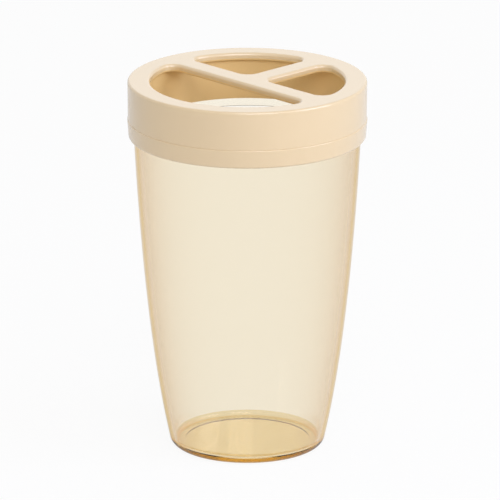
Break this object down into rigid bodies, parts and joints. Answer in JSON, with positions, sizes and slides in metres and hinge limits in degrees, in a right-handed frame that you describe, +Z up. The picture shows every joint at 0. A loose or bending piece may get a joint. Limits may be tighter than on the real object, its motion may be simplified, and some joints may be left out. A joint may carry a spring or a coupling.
{
  "type": "toothbrush cup",
  "caption": "Tapered clear amber tumbler with a beige collar ring and a lift-off lid whose T-shaped bars divide it into openings for toothbrushes.",
  "frame": {"origin": "centre of the tumbler's foot, on the surface that the cup stands on", "axes": "+Z up along the cup's axis, +X along the lid's long bar, +Y along the lid's branch bar"},
  "size_m": [0.075, 0.075, 0.1186],
  "materials": {
    "clear_amber": "clear polished plastic with a light amber tint",
    "beige_collar": "satin moulded plastic",
    "beige_lid": "satin moulded plastic"
  },
  "bodies": {
    "tumbler": {"tumbler": "clear_amber"},
    "collar": {"collar": "beige_collar"},
    "lid": {"lid": "beige_lid"}
  },
  "joints": [
    {"name": "collar_turn", "type": "hinge", "parent": "tumbler", "child": "collar", "pos_m": [0, 0, 0.1062], "axis": [0, 0, 1], "continuous": true},
    {"name": "lid_lift", "type": "slide", "parent": "collar", "child": "lid", "axis": [0, 0, 1], "range_m": [0, 0.03]}
  ]
}
